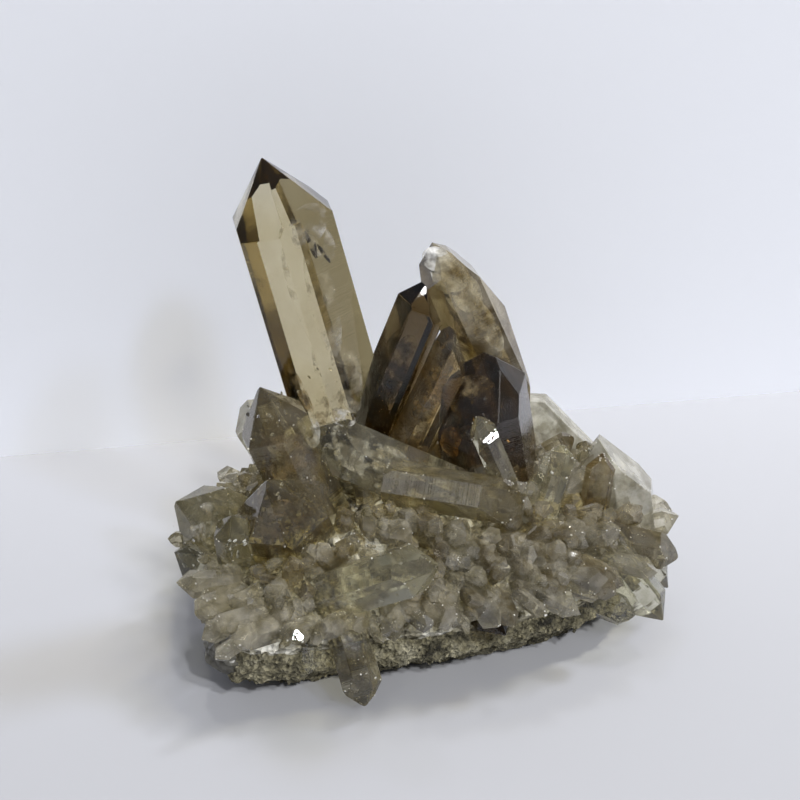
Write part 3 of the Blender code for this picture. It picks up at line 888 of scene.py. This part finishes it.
# Single clouds: tint, middle, width, height and lean to the right in degrees
PLACED_CLOUDS = [
    ("veil", (-24.5, 14.6, 81.5), 7.0, 10.0, 35),
    ("veil", (-22.0, 15.5, 77.5), 5.0, 8.0, -35),
    ("veil", (-23.2, 15.4, 66.0), 6.5, 26.0, -17),
    ("veil", (-18.5, 13.0, 50.0), 6.5, 18.0, -17),
    ("amber", (5.6, 8.5, 36.5), 5.0, 5.0, -20),
    ("black", (-24.2, 13.8, 77.6), 7.0, 1.0, 62),
    ("black", (-21.6, 14.2, 75.8), 5.0, 0.8, 50),
    ("black", (-23.4, 14.0, 76.4), 3.6, 0.7, 85),
    ("black", (-29.3, 9.4, 54.5), 1.7, 1.2, 0),
    ("brown", (-25.4, 10.5, 47.5), 2.2, 12.0, -22),
    ("brown", (-21.0, 11.0, 44.0), 3.0, 11.0, 10),
    ("brown", (-17.0, 13.0, 47.0), 2.6, 10.0, -10),
    ("white", (-17.5, -3.5, 48.6), 5.2, 3.4, 20),
    ("frost", (1.0, 22.2, 70.6), 6.0, 5.0, 20),
    ("frost", (3.5, 21.0, 67.6), 8.0, 6.0, 35),
    ("frost", (6.8, 20.6, 64.0), 6.0, 9.0, -28),
    ("frost", (11.4, 19.4, 57.0), 4.0, 12.0, -30),
    ("white", (-24.0, -1.5, 44.0), 4.0, 6.0, 0),
]


# Finish of each kind of cloud: name, dark and pale tone, where it starts and is full, most cover
CLOUD_FINISHES = {
    "brown": ("brown_cloud", (0.07, 0.045, 0.02), (0.36, 0.27, 0.14), 0.46, 0.66, 0.75),
    "pale": ("pale_cloud", (0.30, 0.26, 0.18), (0.75, 0.73, 0.66), 0.5, 0.7, 0.7),
    "white": ("white_cloud", (0.55, 0.53, 0.46), (0.9, 0.89, 0.86), 0.44, 0.60, 0.8),
    "veil": ("white_veil", (0.45, 0.42, 0.36), (0.82, 0.80, 0.76), 0.47, 0.72, 0.6),
    "amber": ("amber_patch", (0.55, 0.40, 0.16), (0.95, 0.84, 0.52), 0.38, 0.62, 0.55),
    "frost": ("frost_cloud", (0.62, 0.60, 0.54), (0.92, 0.91, 0.88), 0.38, 0.60, 0.92),
    "black": ("dark_speck", (0.012, 0.010, 0.008), (0.05, 0.04, 0.03), 0.44, 0.50, 1.0),
}


def placed_cloud(pattern, centre, wide, high, lean):
    facing = FRONT.normalized()
    beside = Vector((1, 0, 0))
    upright = facing.cross(beside)
    axes = Matrix((beside, upright, facing)).transposed().to_4x4()
    return copy_of(pattern, Matrix.Translation(Vector(centre) * MM) @ axes
                   @ Matrix.Rotation(math.radians(-lean), 4, "Z")
                   @ Matrix.Diagonal((wide * MM, high * MM, min(wide, high) * MM, 1)))


def bed_tint(point, rng):
    """Brown quartz in the middle and at the right of the bed, pale quartz at the left and front rim."""
    from_middle = math.hypot((point.x + 2) / 44, (point.y - 3) / 34)
    chance = 0.72 - 0.5 * from_middle + 0.004 * point.x
    return "brown" if rng.random() < chance else "pale"


def vary_faces(mesh, rng, whole, each):
    """Dim a crystal by a chance amount, and each of its faces by a little more."""
    layer = mesh.attributes.get("dimming_and_painted_shade") or mesh.attributes.new("dimming_and_painted_shade", "FLOAT", "FACE")
    base = rng.uniform(0, whole)
    for mark in layer.data:
        mark.value = base + rng.uniform(0, each)


def paint_shade_on_sides(piece, foot, tip, roll, sides):
    """Paint shade on some of a crystal's six sides, making them darker than the rest."""
    along, front, right = directions(foot, tip)
    layer = piece.data.attributes["dimming_and_painted_shade"]
    for side, amount in sides:
        turn = math.radians(roll + 60 * side)
        facing = front * math.cos(turn) + right * math.sin(turn)
        for face in piece.data.polygons:
            if face.normal.dot(facing) > 0.995 and face.area > 2e-5:
                layer.data[face.index].value = amount


def build_object():
    lines = growth_lines_group()
    tints = {name: quartz(f"quartz_{name}", lines, SOAK[name], clear, (dark, pale), *rest)
             for name, (clear, dark, pale, *rest) in TINTS.items()}
    rng = random.Random(FINE_SEED)
    cracks = crack_patterns(rng)
    cloud_shapes = cloud_patterns()
    spots = []
    clouds = {kind: [] for kind in CLOUD_ORDER}
    for row in LARGE:
        row = dict(row)
        tint = row.pop("tint")
        name, foot, tip, across = row["name"], row["foot"], row["tip"], row["across"]
        piece = cut_crystal(**row)
        if name in BRUISED_OR_HIGHLIGHTED:
            spots += edge_spots([piece], rng, *BRUISES_AND_HIGHLIGHTS_LARGE)
        if name in CRACKS:
            count, sizes, span = CRACKS[name]
            piece = add_cracks(piece, cracks, rng, foot, tip, across, count, sizes, span)
        if name in CLOUDS:
            kind, count, span, tall = CLOUDS[name]
            clouds[kind] += clouds_in(cloud_shapes, rng, foot, tip, across, count, span, tall)
        dress(piece, tints[tint])
        vary_faces(piece.data, rng, *(TALL_DIMMING if name == "tall_point" else LARGE_DIMMING))
        # Painted shade: some sides made darker than the rest
        paint_shade_on_sides(piece, Vector(foot), Vector(tip), row["roll"], PAINTED_SHADE_SIDES.get(name, ()))
    for kind, centre, wide, high, lean in PLACED_CLOUDS:
        clouds[kind].append(placed_cloud(rng.choice(cloud_shapes), centre, wide, high, lean))
    finishes = {kind: cloud_material(*row) for kind, row in CLOUD_FINISHES.items()}
    for kind, items in clouds.items():
        dress(join(f"inner_clouds_{kind}", items), finishes[kind])

    small = small_crystals(random.Random(SEED))
    patterns = fine_patterns(rng)
    patterns = [add_cracks(pattern, cracks, rng, (0, 0, 0), (0, 0, 4), 1.0, *FINE_CRACKS)
                for pattern in patterns]
    fine = strewn(patterns, rng)
    spots += edge_spots(small, rng, *BRUISES_AND_HIGHLIGHTS_SMALL)
    beds = {"pale": [], "brown": []}
    for item in small + fine:
        point = sum((vert.co for vert in item.data.vertices), Vector()) / len(item.data.vertices) / MM
        vary_faces(item.data, rng, *BED_DIMMING)
        beds[bed_tint(point, rng)].append(item)
    for kind, items in beds.items():
        for half in range(2):
            dress(join(f"bed_points_{kind}_{half}", items[half::2]), tints[f"bed_{kind}"])

    dress(crust_body(), crust_material())
    stone, rock = stone_body(), rock_material()
    dress(stone, rock, "matrix")
    dress(broken_corner(), broken_material(), "matrix")

    chips = chip_patterns(rng)
    count, sizes, out = GRIT
    grit = strewn_on(chips, rng, rim_spots(stone, rng, count), sizes, out)
    dress(join("rock_grit", grit), rock, "matrix")
    count, sizes, out = CRUMBS
    crumbs = strewn_on(chips, rng, crust_spots(rng, count), sizes, out)
    dress(join("crust_crumbs", crumbs), tints["bed_pale"])
    # White marks on the edges: bruises, and painted highlights
    bruises_and_highlights = strewn_on(chips, rng, spots, BRUISE_AND_HIGHLIGHT_SIZES, BRUISE_AND_HIGHLIGHT_OUT)
    dress(join("edge_bruises_and_painted_highlights", bruises_and_highlights), bruise_and_painted_highlight_material())
    for pattern in patterns + cracks + cloud_shapes + chips:
        bpy.data.objects.remove(pattern, do_unlink=True)


# Stage

def plain_material(name, colour, one_sided=False, glow=0.0):
    material = bpy.data.materials.new(name)
    material.use_nodes = True
    nodes, links = material.node_tree.nodes, material.node_tree.links
    shader = nodes["Principled BSDF"]
    shader.inputs["Base Color"].default_value = (*colour, 1)
    shader.inputs["Roughness"].default_value = 0.9
    shader.inputs["Specular IOR Level"].default_value = 0.1
    shader.inputs["Emission Color"].default_value = (*colour, 1)
    shader.inputs["Emission Strength"].default_value = glow
    if one_sided:
        side = nodes.new("ShaderNodeNewGeometry")
        path = nodes.new("ShaderNodeLightPath")
        open_way = nodes.new("ShaderNodeMath")
        open_way.operation = "MAXIMUM"
        through = nodes.new("ShaderNodeBsdfTransparent")
        either = nodes.new("ShaderNodeMixShader")
        links.new(side.outputs["Backfacing"], open_way.inputs[0])
        links.new(path.outputs["Is Shadow Ray"], open_way.inputs[1])
        links.new(open_way.outputs[0], either.inputs[0])
        links.new(shader.outputs[0], either.inputs[1])
        links.new(through.outputs[0], either.inputs[2])
        links.new(either.outputs[0], nodes["Material Output"].inputs["Surface"])
    return material


def lamp(name, place, aim, size, power, colour=(1, 1, 1)):
    data = bpy.data.lights.new(name, "AREA")
    data.shape = "DISK"
    data.size = size
    data.energy = power
    data.color = colour
    item = bpy.data.objects.new(name, data)
    bpy.context.scene.collection.objects.link(item)
    item.location = Vector(place)
    item.rotation_euler = (Vector(aim) - item.location).to_track_quat("-Z", "Y").to_euler()
    return item


def build_stage():
    deselect()
    bpy.ops.mesh.primitive_plane_add(size=6.0, location=(0, 0, 0))
    floor = bpy.context.active_object
    floor.name = "floor"
    floor.data.materials.append(plain_material("pale_floor", (0.485, 0.492, 0.522)))

    left, right = Vector((-0.100, 0.061, 0)), Vector((0.092, 0.092, 0))
    way = (right - left).normalized()
    middle = (left + right) / 2
    deselect()
    bpy.ops.mesh.primitive_plane_add(size=1.0, location=middle + Vector((0, 0, 0.08)),
                                     rotation=(math.radians(90), 0, math.atan2(way.y, way.x)))
    wall = bpy.context.active_object
    wall.name = "backdrop"
    wall.scale = (0.5, 0.16, 1)
    settle(wall)
    wall.data.materials.append(plain_material("pale_wall", (0.89, 0.91, 0.965), one_sided=True, glow=0.07))

    lamp("ceiling_left", (0.856, -1.42, 1.736), (0, 0, 0.03), 0.20, 20.0)
    lamp("ceiling_right", (1.26, -0.99, 1.78), (0, 0, 0.03), 0.20, 16.5)
    lamp("window", (0.65, 0.55, 1.05), (0, 0, 0.02), 0.17, 10.8, (1.0, 0.99, 0.97))
    lamp("back_lamp", (-0.09, 0.72, 0.96), (0, 0, 0.02), 0.08, 2.4)
    lamp("front_box", (-0.60, -0.95, 0.80), (0, 0, 0.03), 0.50, 0.9)

    world = bpy.data.worlds.new("room")
    bpy.context.scene.world = world
    world.use_nodes = True
    nodes, links = world.node_tree.nodes, world.node_tree.links
    background = nodes["Background"]
    where = nodes.new("ShaderNodeTexCoord")
    split = nodes.new("ShaderNodeSeparateXYZ")
    links.new(where.outputs["Generated"], split.inputs[0])
    height = nodes.new("ShaderNodeMapRange")
    height.inputs["From Min"].default_value = -0.2
    height.inputs["From Max"].default_value = 0.9
    links.new(split.outputs["Z"], height.inputs["Value"])
    depth = nodes.new("ShaderNodeMapRange")
    depth.inputs["From Min"].default_value = -0.9
    depth.inputs["From Max"].default_value = 0.3
    depth.inputs["To Min"].default_value = 0.35
    links.new(split.outputs["Y"], depth.inputs["Value"])
    both = nodes.new("ShaderNodeMath")
    both.operation = "MAXIMUM"
    links.new(height.outputs[0], both.inputs[0])
    links.new(depth.outputs[0], both.inputs[1])
    tone = nodes.new("ShaderNodeMix")
    tone.data_type = "RGBA"
    tone.inputs["A"].default_value = (0.16, 0.16, 0.17, 1)
    tone.inputs["B"].default_value = (0.78, 0.79, 0.85, 1)
    links.new(both.outputs[0], tone.inputs["Factor"])
    links.new(tone.outputs["Result"], background.inputs["Color"])
    background.inputs["Strength"].default_value = 0.27

    data = bpy.data.cameras.new("camera")
    data.sensor_width = 36
    data.lens = LENS
    camera = bpy.data.objects.new("camera", data)
    bpy.context.scene.collection.objects.link(camera)
    rise = math.radians(CAMERA_RISE)
    camera.location = (LOOK_AT + Vector((0, -math.cos(rise), math.sin(rise))) * CAMERA_FAR) * MM
    camera.rotation_euler = (math.radians(90 - CAMERA_RISE), 0, 0)
    bpy.context.scene.camera = camera

    scene = bpy.context.scene
    scene.view_settings.view_transform = "Standard"
    scene.view_settings.look = "None"
    cycles = scene.cycles
    cycles.max_bounces = 24
    cycles.transmission_bounces = 24
    cycles.transparent_max_bounces = 24
    cycles.glossy_bounces = 8
    cycles.diffuse_bounces = 3
    cycles.caustics_reflective = False
    cycles.caustics_refractive = False
    cycles.sample_clamp_indirect = 8.0


build_object()
build_stage()
